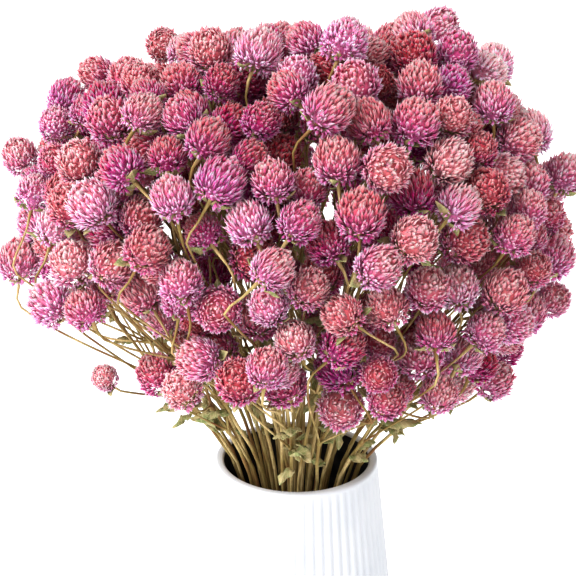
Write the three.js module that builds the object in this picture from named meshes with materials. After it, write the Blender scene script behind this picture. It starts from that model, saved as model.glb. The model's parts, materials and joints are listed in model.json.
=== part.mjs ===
// A bunch of dried globe amaranth standing in a white fluted vase.
// Millimetres, +Z up. The origin is the middle of the vase's foot, on the surface it stands on,
// and the bunch is seen from -Y.
import * as THREE from 'three';

const SEED = 7;
const RANDOM_FACTOR = 16807;
const RANDOM_RANGE = 2147483647;

// Vase
const VASE_HEIGHT = 200;
const FLUTES = 60;
const FLUTE_DEPTH = 0.9;
const RIM_OUTER_RADIUS = 47;
const RIM_INNER_RADIUS = 42;
const RIM_BEVEL = 1.0;
const FLUTES_END_BELOW_RIM = 2.5;
const SHOULDER_RADIUS = 67;
const SHOULDER_HEIGHT = 16;
const FOOT_RADIUS = 60;
const FOOT_ROUND_HEIGHT = 5;
const FOOT_ROUND_RADIUS = 65;
const FLOOR_THICKNESS = 9;
const INNER_FLOOR_RADIUS = 54;
const INNER_SIDES = 40;

// Crown of heads. It is laid out across (x), up (y) and toward the viewer (z) in a frame that
// leans back with the eye, about the crown's middle.
const CROWN_LEAN = THREE.MathUtils.degToRad(20);
const CROWN_MIDDLE = new THREE.Vector3(-4.9, 8.5, 343.3);
const CROWN_DEPTH = 106;
// How far the head centres reach from the crown's middle, every 15 degrees from the right.
const CROWN_OUTLINE = [
  136, 128, 126, 113, 98, 84, 80, 82, 88, 96, 116, 124,
  130, 114, 82, 82, 86, 96, 104, 110, 110, 113, 123, 132,
];
// Share of the sprays that head toward the viewer, and how steeply the lowest ones head down.
const FRONT_SHARE = 0.59;
const LOWEST_HEADING = -0.53;

// Sprays and heads. Headings that point too far down are left out of the candidates.
const SPRAY_CANDIDATES = 74;
const GOLDEN_ANGLE = Math.PI * (3 - Math.sqrt(5));
const FULL_SPRAY_FACING = 0.31;
const HEADS_PER_SPRAY = 5;
const HEADS_PER_FULL_SPRAY = 7;
const HEAD_RADIUS_LEAST = 8.8;
const HEAD_RADIUS_MOST = 12.0;
const HEAD_LENGTHENING = 1.1;
// The core of a head, in parts of its radius.
const HEAD_BASE_HEIGHT = -0.74;
const HEAD_BASE_RADIUS = 0.36;
const HEAD_WAIST_HEIGHT = 0.0;
const HEAD_WAIST_RADIUS = 0.86;
const HEAD_WAIST_SIDES = 4;
const HEAD_CROWN_HEIGHT = 0.84;
const HEAD_CORE_SHADE = 0.55;
const SPRAY_SPREAD = 21;
// Some heads sit deeper in the crown than the rest.
const SUNKEN_SHARE = 0.3;
const SUNKEN_SCALE = 0.89;
const PROUD_SCALE = 1.0;
const SCALE_JITTER = 0.03;
const HEAD_CLEARANCE = 0.9;
const SPREAD_LOOSENESS = 1.12;
const HOMEWARD_PULL = 0.03;
const SPREAD_ROUNDS = 80;
const SPREAD_STRENGTH = 0.25;
const PARTING_ROUNDS = 60;
const PARTING_STRENGTH = 0.4;
const TRADING_ROUNDS = 8;
const LEAST_TRADE_GAIN = 1;
// Single heads that stand out from the rest, as [across, up, toward the viewer, radius].
const OUTSTANDING_HEADS = [
  [83.6, 104.5, -10, 11.4],
  [112.7, 82.5, 0, 11.4],
  [142.0, 16.5, 0, 12.0],
  [141.0, -9.3, 10, 11.6],
  [145.7, -46.7, 0, 9.8],
  [127.5, -54.0, 12, 12.0],
  [113.0, -91.0, 0, 10.8],
  [121.0, -74.0, -14, 10.4],
  [-147.3, 31.9, 0, 10.2],
  [-147.3, -25.8, 0, 12.2],
  [-100.6, -89.6, 0, 7.4],
  [-68.7, 93.5, 0, 9.6],
  [-55.5, 86.0, 18, 9.8],
  [-29.0, 90.0, 0, 12.0],
  [40.0, 94.0, 0, 10.0],
  [-104.5, 77.0, 0, 10.0],
  [-120.0, 62.0, 10, 10.8],
  [-1.5, -88.4, 66, 11.6],
  [25.0, -80.0, 72, 11.8],
  [27.0, -101.0, 52, 12.0],
  [-21.4, -88.0, 58, 10.0],
  [-67.6, -85.4, 40, 11.0],
  [54.9, -92.0, 44, 10.6],
  [77.0, -80.0, 30, 10.4],
  [-137.4, -5.5, 4, 10.6],
  [-136.0, 17.0, 8, 9.6],
  [138.0, -27.0, 0, 10.0],
  [91.0, -93.0, 6, 10.4],
];

// Stems
// Corners round a stem or stalk.
const SIDES = 3;
const STEM_RADIUS = 1.35;
const STEM_TOP_RADIUS = 1.0;
const PEDICEL_RADIUS = 0.8;
const KNUCKLE_RADIUS = 1.75;
const KNUCKLE_HEIGHT = 3;
const STEM_FLOOR_GAP = 1;
const BUNDLE_RADIUS = 38;
const BUNDLE_WAIST = 0.5;
const WAIST_HEIGHT = 110;
const MOUTH_HEIGHT = 200;
const STEM_SPACING = 7.5;
// Where a stem forks, in parts of the way from the mouth to its heads.
const FORK_PARTS = [0.36, 0.6];
const FULL_FORK_PARTS = [0.3, 0.46, 0.62];
const FORK_JITTER = 3;
const NECK_LENGTH = 9;
const LONG_NECK = 1.4;
// How strongly a head turns up and nods aside, beside its way out from the fork, which counts as one.
const HEAD_UPRIGHT = 0.7;
const HEAD_NOD = 0.36;
const STEM_CLEARANCE = 1.3;
const NECK_RADIUS = 2;
// Straightening draws bends and forks into line, less each round, while the rest is pushed apart.
const STRAIGHTENING = 0.08;
const STRAIGHTENING_ROUNDS = 150;
const STIFFENING = 2.5;
const SPLAY_LENGTH = 12;
const SPLAY_ROOM = 5.5;
const MOUTH_ROUNDS = 60;
const UNTANGLING_ROUNDS = 270;
const PUSH_STRENGTH = 0.35;
const NEARLY_PARALLEL = 1e-9;
const NEARLY_UPRIGHT = 0.9;

// Leaves
const LEAF_LENGTHS = [26, 20, 15];
const LEAF_SLANTS = [45, 65, 25];
const LEAF_SWINGS = [0, 30, -30];
const LEAF_HALF_WIDTH_PART = 0.19;
const LEAF_THICKNESS = 1.5;
const LEAF_DROOP_PART = 0.18;
const LEAF_CLEARANCE = 0.6;
// Places along a leaf where its middle line bends, and how wide it is at the middle two.
const LEAF_LINE_PARTS = [0.12, 0.4, 0.72, 1];
const LEAF_WIDTH_PARTS = [1, 0.75];
const MOST_LEAVES = 32;

// Colours
const VASE_WHITE = 0xf1f3f6;
const HEAD_PINKS = [0xd0647f, 0xc4577f, 0xdb7f95];
const STEM_COLOUR = new THREE.Color(0x8a7a45);
const KNUCKLE_COLOUR = new THREE.Color(0x7a6a3c);
const LEAF_COLOUR = new THREE.Color(0x8f9468);

let state = SEED;

/** The next number of the seeded sequence, from 0 up to 1. */
function random() {
  state = (state * RANDOM_FACTOR) % RANDOM_RANGE;
  return state / RANDOM_RANGE;
}

function between(least, most) {
  return least + (most - least) * random();
}

function vector(x, y, z) {
  return new THREE.Vector3(x, y, z);
}

/** How high a heading in the crown's leaning frame climbs in the world. */
function climb(heading) {
  return heading.y * Math.cos(CROWN_LEAN) + heading.z * Math.sin(CROWN_LEAN);
}

/** A place in the crown's leaning frame, in the world. */
function inWorld(place) {
  return vector(
    CROWN_MIDDLE.x + place.x,
    CROWN_MIDDLE.y + place.y * Math.sin(CROWN_LEAN) - place.z * Math.cos(CROWN_LEAN),
    CROWN_MIDDLE.z + place.y * Math.cos(CROWN_LEAN) + place.z * Math.sin(CROWN_LEAN),
  );
}

/** How far the crown reaches across at an angle from the right. */
function outlineAt(across, up) {
  const count = CROWN_OUTLINE.length;
  const turn = Math.atan2(up, across) / (2 * Math.PI);
  const step = (turn - Math.floor(turn)) * count;
  const low = Math.floor(step) % count;
  const part = step - Math.floor(step);
  return CROWN_OUTLINE[low] * (1 - part) + CROWN_OUTLINE[(low + 1) % count] * part;
}

/** The place on the crown's shell under a heading. */
function onShell(heading, scale) {
  const wide = outlineAt(heading.x, heading.y);
  return vector(heading.x * wide, heading.y * wide, heading.z * CROWN_DEPTH).multiplyScalar(scale);
}

/** The heading over a place, kept clear of the opening under the crown where the stems rise. */
function headingOver(place) {
  const wide = outlineAt(place.x, place.y);
  const heading = vector(place.x / wide, place.y / wide, place.z / CROWN_DEPTH).normalize();
  const rise = climb(heading);
  if (rise >= LOWEST_HEADING) {
    return heading;
  }
  const upright = vector(0, Math.cos(CROWN_LEAN), Math.sin(CROWN_LEAN));
  const level = heading.addScaledVector(upright, -rise).normalize();
  const spread = Math.sqrt(1 - LOWEST_HEADING ** 2);
  return level.multiplyScalar(spread).addScaledVector(upright, LOWEST_HEADING);
}

/** Pushes places apart by half of what each pair lacks of its room, and tells how far each moves. */
function pushesApart(places, roomOf, strength) {
  const moves = places.map(() => vector(0, 0, 0));
  for (let i = 0; i < places.length; i += 1) {
    for (let j = i + 1; j < places.length; j += 1) {
      const apart = places[i].clone().sub(places[j]);
      const distance = apart.length();
      const lack = roomOf(i, j) - distance;
      if (lack > 0) {
        apart.multiplyScalar((strength * lack) / distance);
        moves[i].add(apart);
        moves[j].sub(apart);
      }
    }
  }
  return moves;
}

/** The headings of the sprays, on a golden spiral that starts at the viewer and is spread evenly. */
function sprayHeadings() {
  const headings = [];
  for (let k = 0; k < SPRAY_CANDIDATES; k += 1) {
    const part = (k + 0.5) / SPRAY_CANDIDATES;
    const ahead = part < FRONT_SHARE
      ? 1 - part / FRONT_SHARE
      : (FRONT_SHARE - part) / (1 - FRONT_SHARE);
    const aside = Math.sqrt(1 - ahead * ahead);
    const turn = k * GOLDEN_ANGLE;
    const heading = vector(aside * Math.cos(turn), aside * Math.sin(turn), ahead);
    if (climb(heading) > LOWEST_HEADING) {
      headings.push(heading);
    }
  }
  return headings;
}

/** Every head as its spray, place in the leaning frame, radius and the scale of its shell. */
function layOutHeads() {
  const heads = [];
  sprayHeadings().forEach((heading, spray) => {
    const full = heading.z > FULL_SPRAY_FACING;
    const count = full ? HEADS_PER_FULL_SPRAY : HEADS_PER_SPRAY;
    const middle = onShell(heading, 1);
    const side = vector(-heading.y, heading.x, 0).normalize();
    const across = heading.clone().cross(side);
    const start = random() * 2 * Math.PI;
    for (let k = 0; k < count; k += 1) {
      const turn = start + (2 * Math.PI * k) / (count - 1);
      const out = k === 0 ? 0 : SPRAY_SPREAD;
      const place = middle.clone()
        .addScaledVector(side, out * Math.cos(turn))
        .addScaledVector(across, out * Math.sin(turn));
      const radius = between(HEAD_RADIUS_LEAST, HEAD_RADIUS_MOST);
      const sunken = k > 0 && random() < SUNKEN_SHARE;
      const scale = (sunken ? SUNKEN_SCALE : PROUD_SCALE) + between(-SCALE_JITTER, SCALE_JITTER);
      heads.push({ spray, place, radius, scale, free: true, move: vector(0, 0, 0) });
    }
  });
  for (const [x, y, z, radius] of OUTSTANDING_HEADS) {
    const place = vector(x, y, z);
    let nearest = null;
    for (const head of heads) {
      const away = (other) => other.place.distanceTo(place);
      if (head.free && (nearest === null || away(head) < away(nearest))) {
        nearest = head;
      }
    }
    Object.assign(nearest, { place, radius, free: false });
  }
  return heads;
}

/** The middle of each spray's heads. */
function sprayMiddles(heads) {
  const middles = [];
  for (const head of heads) {
    middles[head.spray] = middles[head.spray] ?? { sum: vector(0, 0, 0), count: 0 };
    middles[head.spray].sum.add(head.place);
    middles[head.spray].count += 1;
  }
  return middles.map(({ sum, count }) => sum.divideScalar(count));
}

/** Spreads the heads evenly over the shell, then parts those that still touch. */
function spreadHeads(heads) {
  for (let round = 0; round < SPREAD_ROUNDS; round += 1) {
    const middles = sprayMiddles(heads);
    const places = heads.map((head) => head.place);
    const room = (i, j) => (heads[i].radius + heads[j].radius) * SPREAD_LOOSENESS;
    const moves = pushesApart(places, room, SPREAD_STRENGTH);
    heads.forEach((head, i) => {
      if (head.free) {
        const homeward = middles[head.spray].clone().sub(head.place).multiplyScalar(HOMEWARD_PULL);
        const place = head.place.clone().add(moves[i]).add(homeward);
        head.place = onShell(headingOver(place), head.scale);
      }
    });
  }
  for (let round = 0; round < PARTING_ROUNDS; round += 1) {
    const places = heads.map((head) => head.place);
    const room = (i, j) => heads[i].radius + heads[j].radius + HEAD_CLEARANCE;
    const moves = pushesApart(places, room, PARTING_STRENGTH);
    heads.forEach((head, i) => {
      if (head.free) {
        head.place = head.place.clone().add(moves[i]);
      }
    });
  }
}

/** Trades heads between sprays until each spray's heads sit closest together. */
function tradeHeads(heads) {
  for (let round = 0; round < TRADING_ROUNDS; round += 1) {
    const middles = sprayMiddles(heads);
    for (let i = 0; i < heads.length; i += 1) {
      for (let j = i + 1; j < heads.length; j += 1) {
        const [a, b] = [heads[i], heads[j]];
        const [home, away] = [middles[a.spray], middles[b.spray]];
        const kept = a.place.distanceToSquared(home) + b.place.distanceToSquared(away);
        const traded = a.place.distanceToSquared(away) + b.place.distanceToSquared(home);
        if (traded < kept - LEAST_TRADE_GAIN) {
          [a.spray, b.spray] = [b.spray, a.spray];
        }
      }
    }
  }
}

/** Where each spray's stem crosses the mouth, spread over it with the steepest in the middle. */
function mouthPlaces(middles) {
  const slant = (middle) => Math.hypot(middle.x, middle.y) / (middle.z - MOUTH_HEIGHT);
  const slants = middles.map(slant);
  const order = [...slants].sort((a, b) => a - b);
  let places = middles.map((middle, i) => {
    const radius = BUNDLE_RADIUS * Math.sqrt((order.indexOf(slants[i]) + 0.5) / middles.length);
    const turn = Math.atan2(middle.y, middle.x);
    return vector(radius * Math.cos(turn), radius * Math.sin(turn), MOUTH_HEIGHT);
  });
  for (let round = 0; round < MOUTH_ROUNDS; round += 1) {
    const moves = pushesApart(places, () => STEM_SPACING, PARTING_STRENGTH);
    places = places.map((place, i) => {
      const moved = place.clone().add(moves[i]);
      const out = Math.hypot(moved.x, moved.y);
      const held = Math.min(1, BUNDLE_RADIUS / out);
      return vector(moved.x * held, moved.y * held, MOUTH_HEIGHT);
    });
  }
  return places;
}

/** Deals a spray's heads to its stem: the one nearest the axis ends it, the others sit opposite. */
function dealHeads(spray, middle, axis) {
  const offset = (head) => head.place.clone().sub(middle).projectOnPlane(axis);
  const nearestFirst = [...spray].sort((a, b) => offset(a).length() - offset(b).length());
  const [tip, ...others] = nearestFirst;
  const side = vector(1, 0, 0).projectOnPlane(axis).normalize();
  const up = axis.clone().cross(side);
  const turn = (head) => Math.atan2(offset(head).dot(up), offset(head).dot(side));
  others.sort((a, b) => turn(a) - turn(b));
  const forks = others.length / 2;
  const pairs = [];
  for (let k = 0; k < forks; k += 1) {
    pairs.push([others[k], others[k + forks]]);
  }
  return { tip, pairs };
}

/** The two closest places of two straight pieces, as how far along each they lie. */
function closestParts(a, b, c, d) {
  const first = b.clone().sub(a);
  const second = d.clone().sub(c);
  const offset = a.clone().sub(c);
  const firstSquare = first.dot(first);
  const secondSquare = second.dot(second);
  const mixed = first.dot(second);
  const firstLead = first.dot(offset);
  const secondLead = second.dot(offset);
  const spread = firstSquare * secondSquare - mixed * mixed;
  const clamp = (part) => Math.min(1, Math.max(0, part));
  const apart = Math.max(spread, NEARLY_PARALLEL);
  let along = clamp((mixed * secondLead - firstLead * secondSquare) / apart);
  const other = clamp((mixed * along + secondLead) / secondSquare);
  along = clamp((mixed * other - firstLead) / firstSquare);
  return [along, other];
}

/** How far along a straight piece its closest place to a point lies. */
function closestPart(from, to, place) {
  const run = to.clone().sub(from);
  return Math.min(1, Math.max(0, place.clone().sub(from).dot(run) / run.dot(run)));
}

/** A fixed or free point of the stems. */
function joint(place, free) {
  return { place, free, move: vector(0, 0, 0) };
}

/** Where the stalk bends below a head that faces on from its fork, upward and a little aside. */
function belowHead(head, fork, nod) {
  const facing = head.place.clone().sub(fork.place).normalize();
  facing.z += HEAD_UPRIGHT;
  facing.normalize().add(nod).normalize();
  return head.place.clone().addScaledVector(facing, -(head.radius + NECK_LENGTH));
}

/** Every spray's stem: its low points, its forks and the bend under each head, in the world. */
function planStems(heads) {
  const sprays = [];
  for (const head of heads) {
    sprays[head.spray] = sprays[head.spray] ?? [];
    sprays[head.spray].push(head);
  }
  const middles = sprays.map((spray) => {
    const sum = spray.reduce((total, head) => total.add(head.place), vector(0, 0, 0));
    return sum.divideScalar(spray.length);
  });
  const mouths = mouthPlaces(middles);
  return sprays.map((spray, i) => {
    const mouth = mouths[i];
    const axis = middles[i].clone().sub(mouth).normalize();
    const { tip, pairs } = dealHeads(spray, middles[i], axis);
    const parts = pairs.length > 2 ? FULL_FORK_PARTS : FORK_PARTS;
    const forks = parts.map((part) => {
      const place = mouth.clone().lerp(middles[i], part);
      place.x += between(-FORK_JITTER, FORK_JITTER);
      place.y += between(-FORK_JITTER, FORK_JITTER);
      return Object.assign(joint(place, true), { home: place.clone() });
    });
    const hang = (head, fork) => {
      const nod = vector(between(-1, 1), between(-1, 1), between(-1, 1)).multiplyScalar(HEAD_NOD);
      return { head, nod, bend: joint(belowHead(head, fork, nod), true) };
    };
    return {
      floor: vector(mouth.x * BUNDLE_WAIST, mouth.y * BUNDLE_WAIST, FLOOR_THICKNESS + STEM_FLOOR_GAP),
      waist: vector(mouth.x * BUNDLE_WAIST, mouth.y * BUNDLE_WAIST, WAIST_HEIGHT),
      mouth: joint(mouth, false),
      forks,
      tip: hang(tip, forks[forks.length - 1]),
      pairs: pairs.map((pair, k) => pair.map((head) => hang(head, forks[k]))),
    };
  });
}

/** Every head with the fork its stalk leaves and the bend under it. */
function hangingHeads(plans) {
  return plans.flatMap((plan) => [
    { fork: plan.forks[plan.forks.length - 1], ...plan.tip },
    ...plan.pairs.flatMap((pair, k) => pair.map((end) => ({ fork: plan.forks[k], ...end }))),
  ]);
}

/** The straight pieces of the stems above the mouth, each with its thickness and the head it ends in. */
function stemPieces(plans) {
  const pieces = [];
  for (const plan of plans) {
    let below = plan.mouth;
    for (const fork of plan.forks) {
      pieces.push({ from: below, to: fork, thick: STEM_RADIUS, own: null });
      below = fork;
    }
  }
  for (const { fork, head, bend } of hangingHeads(plans)) {
    pieces.push({ from: fork, to: bend, thick: PEDICEL_RADIUS, own: head });
    pieces.push({ from: bend, to: head, thick: NECK_RADIUS, own: head });
  }
  return pieces;
}

/** The place a short way along a straight piece, where pieces from one fork must have parted. */
function outFrom(piece) {
  const run = piece.to.place.clone().sub(piece.from.place).normalize();
  return piece.from.place.clone().addScaledVector(run, SPLAY_LENGTH);
}

/** Moves both ends of a piece when the place at a part of its length is pushed. */
function push(piece, along, move) {
  piece.from.move.addScaledVector(move, 1 - along);
  piece.to.move.addScaledVector(move, along);
}

/** Pushes a piece and a head apart where the piece runs through the head. */
function clearHead(piece, head) {
  const along = closestPart(piece.from.place, piece.to.place, head.place);
  const apart = piece.from.place.clone().lerp(piece.to.place, along).sub(head.place);
  const distance = apart.length();
  const lack = head.radius + piece.thick + STEM_CLEARANCE - distance;
  if (head !== piece.own && lack > 0) {
    apart.multiplyScalar((PUSH_STRENGTH * lack) / distance);
    push(piece, along, apart);
    head.move.sub(apart);
  }
}

/** Pushes two pieces apart where they touch, or soon after they leave one fork. */
function clearPiece(piece, other) {
  if (other.from === piece.to || other.to === piece.from) {
    return;
  }
  const siblings = other.from === piece.from;
  const [along, across] = siblings
    ? [1, 1]
    : closestParts(piece.from.place, piece.to.place, other.from.place, other.to.place);
  const apart = siblings
    ? outFrom(piece).sub(outFrom(other))
    : piece.from.place.clone().lerp(piece.to.place, along)
      .sub(other.from.place.clone().lerp(other.to.place, across));
  const room = siblings ? SPLAY_ROOM : piece.thick + other.thick + STEM_CLEARANCE;
  const distance = apart.length();
  if (distance < room) {
    apart.multiplyScalar((PUSH_STRENGTH * (room - distance)) / distance);
    push(piece, along, apart);
    push(other, across, apart.negate());
  }
}

/** Moves the heads, forks and bends until no stem runs through a head or another stem. */
function untangle(plans, heads) {
  const pieces = stemPieces(plans);
  const hanging = hangingHeads(plans);
  const chains = plans.flatMap((plan) => {
    const chain = [plan.mouth, ...plan.forks, plan.tip.bend];
    return plan.forks.map((fork, k) => [chain[k], fork, chain[k + 2]]);
  });
  const ends = new Set([...heads, ...pieces.flatMap((piece) => [piece.from, piece.to])]);
  for (let round = 0; round < UNTANGLING_ROUNDS; round += 1) {
    const straightening = STRAIGHTENING * Math.max(0, 1 - round / STRAIGHTENING_ROUNDS);
    pieces.forEach((piece, i) => {
      heads.forEach((head) => clearHead(piece, head));
      for (let j = i + 1; j < pieces.length; j += 1) {
        clearPiece(piece, pieces[j]);
      }
    });
    const places = heads.map((head) => head.place);
    const room = (i, j) => heads[i].radius + heads[j].radius + HEAD_CLEARANCE;
    pushesApart(places, room, PUSH_STRENGTH).forEach((move, i) => heads[i].move.add(move));
    for (const { fork, head, nod, bend } of hanging) {
      const wanted = belowHead(head, fork, nod);
      bend.move.add(wanted.sub(bend.place).multiplyScalar(straightening));
    }
    for (const [below, fork, above] of chains) {
      const lower = fork.place.distanceTo(below.place);
      const part = lower / (lower + fork.place.distanceTo(above.place));
      const straight = below.place.clone().lerp(above.place, part).add(fork.home).multiplyScalar(0.5);
      fork.move.add(straight.sub(fork.place).multiplyScalar(STIFFENING * straightening));
    }
    for (const end of ends) {
      if (end.free) {
        end.place.add(end.move);
      }
      end.move.set(0, 0, 0);
    }
  }
}

/** A closed body that grows ring by ring, its corners anticlockwise seen from where it grows to. */
class Body {
  constructor() {
    this.places = [];
    this.colours = [];
    this.faces = [];
  }

  corner(place, colour) {
    this.places.push(place);
    this.colours.push(colour);
    return this.places.length - 1;
  }

  face(a, b, c) {
    this.faces.push(a, b, c);
  }

  /** A flat ring of corners about a centre, facing a heading. */
  ring(centre, heading, radius, turn, count, colour) {
    const { side, up } = crossFrame(heading);
    const corners = [];
    for (let k = 0; k < count; k += 1) {
      const angle = turn + (2 * Math.PI * k) / count;
      const place = centre.clone()
        .addScaledVector(side, radius * Math.cos(angle))
        .addScaledVector(up, radius * Math.sin(angle));
      corners.push(this.corner(place, colour));
    }
    return corners;
  }

  /** Joins two rings that start at the same angle with a band of faces. */
  band(lower, upper) {
    let i = 0;
    let j = 0;
    while (i < lower.length || j < upper.length) {
      const lowerNext = (i + 0.5) / lower.length;
      const upperNext = (j + 0.5) / upper.length;
      const near = lower[i % lower.length];
      const far = upper[j % upper.length];
      if (j >= upper.length || (i < lower.length && lowerNext <= upperNext)) {
        i += 1;
        this.face(near, lower[i % lower.length], far);
      } else {
        j += 1;
        this.face(near, upper[j % upper.length], far);
      }
    }
  }

  /** The turn at which a ring facing a heading best meets an earlier ring. */
  turnToMeet(earlier, heading) {
    const { side, up } = crossFrame(heading);
    const middle = vector(0, 0, 0);
    for (const corner of earlier) {
      middle.addScaledVector(this.places[corner], 1 / earlier.length);
    }
    let across = 0;
    let upward = 0;
    earlier.forEach((corner, k) => {
      const out = this.places[corner].clone().sub(middle).projectOnPlane(heading).normalize();
      const angle = Math.atan2(out.dot(up), out.dot(side)) - (2 * Math.PI * k) / earlier.length;
      across += Math.cos(angle);
      upward += Math.sin(angle);
    });
    return Math.atan2(upward, across);
  }

  /** A further ring of a stem or stalk, joined to the one before it. */
  grow(earlier, centre, heading, radius, colour) {
    const turn = this.turnToMeet(earlier, heading);
    const ring = this.ring(centre, heading, radius, turn, SIDES, colour);
    this.band(earlier, ring);
    return ring;
  }

  geometry() {
    const geometry = new THREE.BufferGeometry();
    const places = this.places.flatMap((place) => place.toArray());
    const colours = this.colours.flatMap((colour) => colour.toArray());
    geometry.setAttribute('position', new THREE.Float32BufferAttribute(places, 3));
    geometry.setAttribute('color', new THREE.Float32BufferAttribute(colours, 3));
    geometry.setIndex(this.faces);
    geometry.computeVertexNormals();
    return geometry;
  }
}

/** Two directions square to a heading and to each other, the heading being side cross up. */
function crossFrame(heading) {
  const level = Math.abs(heading.z) < NEARLY_UPRIGHT ? vector(0, 0, 1) : vector(0, 1, 0);
  const side = level.cross(heading).normalize();
  const up = heading.clone().cross(side);
  return { side, up };
}

/** A head of pointed bracts, every face of a rounded core drawn out to a spike. */
function addHead(body, neck, head, bend, tint) {
  const facing = head.place.clone().sub(bend).normalize();
  const along = (part) => head.place.clone().addScaledVector(facing, part * head.radius);
  const dark = tint.clone().multiplyScalar(HEAD_CORE_SHADE);
  const base = body.grow(neck, along(HEAD_BASE_HEIGHT), facing, HEAD_BASE_RADIUS * head.radius, dark);
  const turn = body.turnToMeet(base, facing);
  const waistRadius = HEAD_WAIST_RADIUS * head.radius;
  const waist = body.ring(along(HEAD_WAIST_HEIGHT), facing, waistRadius, turn, HEAD_WAIST_SIDES, dark);
  const crown = body.corner(along(HEAD_CROWN_HEIGHT), dark);
  const spike = (a, b, c) => {
    const out = body.places[a].clone().add(body.places[b]).add(body.places[c]);
    out.divideScalar(3).sub(head.place).normalize();
    out.addScaledVector(facing, (HEAD_LENGTHENING - 1) * out.dot(facing));
    const tip = body.corner(head.place.clone().addScaledVector(out, head.radius), tint);
    body.face(a, b, tip);
    body.face(b, c, tip);
    body.face(c, a, tip);
  };
  const from = body.faces.length;
  body.band(base, waist);
  waist.forEach((corner, k) => body.face(corner, waist[(k + 1) % waist.length], crown));
  const core = body.faces.splice(from);
  for (let k = 0; k < core.length; k += 3) {
    const corners = core.slice(k, k + 3);
    if (corners.filter((corner) => base.includes(corner)).length === 2) {
      body.face(...corners);
    } else {
      spike(...corners);
    }
  }
}

/** A hanging head: its thin stalk from the three corners it leaves, and the head. */
function addHangingHead(body, port, fork, { head, bend }, tint) {
  const rise = bend.place.clone().sub(fork).normalize();
  const facing = head.place.clone().sub(bend.place).normalize();
  let neck = body.grow(port, bend.place, rise.add(facing).normalize(), PEDICEL_RADIUS, STEM_COLOUR);
  const short = head.radius + NECK_LENGTH;
  if (bend.place.distanceTo(head.place) > LONG_NECK * short) {
    const top = head.place.clone().addScaledVector(facing, -short);
    neck = body.grow(neck, top, facing, PEDICEL_RADIUS, STEM_COLOUR);
  }
  addHead(body, neck, head, bend.place, tint);
}

/**
 * How a knuckle is turned to suit the two stalks that leave it: the angle of the first, and the
 * step of a third of a turn to the second. The side left over is one step the other way.
 */
function knuckleTurn(plan, k) {
  const fork = plan.forks[k].place;
  const below = k > 0 ? plan.forks[k - 1].place : plan.mouth.place;
  const above = k + 1 < plan.forks.length ? plan.forks[k + 1].place : plan.tip.bend.place;
  const heading = above.clone().sub(below).normalize();
  const onward = above.clone().sub(fork).normalize();
  const { side, up } = crossFrame(heading);
  const [first, second] = plan.pairs[k].map((end) => {
    const toward = end.bend.place.clone().sub(fork).normalize().sub(onward);
    return Math.atan2(toward.dot(up), toward.dot(side));
  });
  const gap = Math.atan2(Math.sin(second - first), Math.cos(second - first));
  const step = Math.sign(gap) * ((2 * Math.PI) / 3);
  return { heading, side, up, turn: first + (gap - step) / 2, step };
}

/** The middle line of a leaf: how far along it lies, and the place there. */
function leafLine(fork, out, length) {
  return LEAF_LINE_PARTS.map((part) => {
    const place = fork.clone().addScaledVector(out, part * length);
    place.z -= LEAF_DROOP_PART * length * part * part;
    return place;
  });
}

/** One leaf for a spray, at the side left over of a fork, where one fits clear of everything. */
function findLeaf(plan, pieces, heads, taken) {
  for (let k = 0; k < plan.forks.length; k += 1) {
    const fork = plan.forks[k];
    const { heading, side, up, turn, step } = knuckleTurn(plan, k);
    for (const length of LEAF_LENGTHS) {
      const room = LEAF_HALF_WIDTH_PART * length + LEAF_CLEARANCE;
      for (const slant of LEAF_SLANTS.map(THREE.MathUtils.degToRad)) {
        for (const swing of LEAF_SWINGS.map(THREE.MathUtils.degToRad)) {
          const out = heading.clone().multiplyScalar(Math.cos(slant))
            .addScaledVector(side, Math.sin(slant) * Math.cos(turn - step + swing))
            .addScaledVector(up, Math.sin(slant) * Math.sin(turn - step + swing));
          const line = leafLine(fork.place, out, length);
          const clear = line.slice(1).every((place) => (
            [...heads, ...taken].every((other) => other.place.distanceTo(place) > other.radius + room)
            && pieces.every((piece) => {
              const along = closestPart(piece.from.place, piece.to.place, place);
              const distance = piece.from.place.clone().lerp(piece.to.place, along).distanceTo(place);
              return distance > piece.thick + room;
            })
            && place.z > VASE_HEIGHT + room
          ));
          if (clear) {
            return { fork: k, heading, out, line, length };
          }
        }
      }
    }
  }
  return null;
}

/** A pointed leaf with a keel, from the three corners of a knuckle's side. */
function addLeaf(body, port, leaf) {
  const across = leaf.heading.clone().cross(leaf.out).normalize();
  const over = leaf.out.clone().cross(across).normalize();
  const half = LEAF_HALF_WIDTH_PART * leaf.length;
  let earlier = port;
  LEAF_WIDTH_PARTS.forEach((part, k) => {
    const middle = leaf.line[k + 1];
    const section = [
      middle.clone().addScaledVector(over, -LEAF_THICKNESS),
      middle.clone().addScaledVector(across, half * part),
      middle.clone().addScaledVector(across, -half * part),
    ].map((place) => body.corner(place, LEAF_COLOUR));
    body.band(earlier, section);
    earlier = section;
  });
  const tip = body.corner(leaf.line[leaf.line.length - 1], LEAF_COLOUR);
  earlier.forEach((corner, k) => body.face(corner, earlier[(k + 1) % SIDES], tip));
}

/** A stem's knuckle, with the ring that the stem goes on from and three ports on its sides. */
function addKnuckle(body, earlier, fork, { heading, turn, step }) {
  const foot = fork.clone().addScaledVector(heading, -KNUCKLE_HEIGHT / 2);
  const top = fork.clone().addScaledVector(heading, KNUCKLE_HEIGHT / 2);
  const lower = body.ring(foot, heading, KNUCKLE_RADIUS, turn, SIDES, KNUCKLE_COLOUR);
  const upper = body.ring(top, heading, STEM_TOP_RADIUS, turn + Math.PI / SIDES, SIDES, KNUCKLE_COLOUR);
  body.band(earlier, bestStart(body, earlier, lower));
  lower.forEach((corner, k) => body.face(corner, lower[(k + 1) % SIDES], upper[k]));
  const port = (k) => [lower[k], upper[k], upper[(k + 2) % SIDES]];
  const ports = step > 0 ? [port(0), port(1), port(2)] : [port(0), port(2), port(1)];
  return { ports, upper };
}

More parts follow.
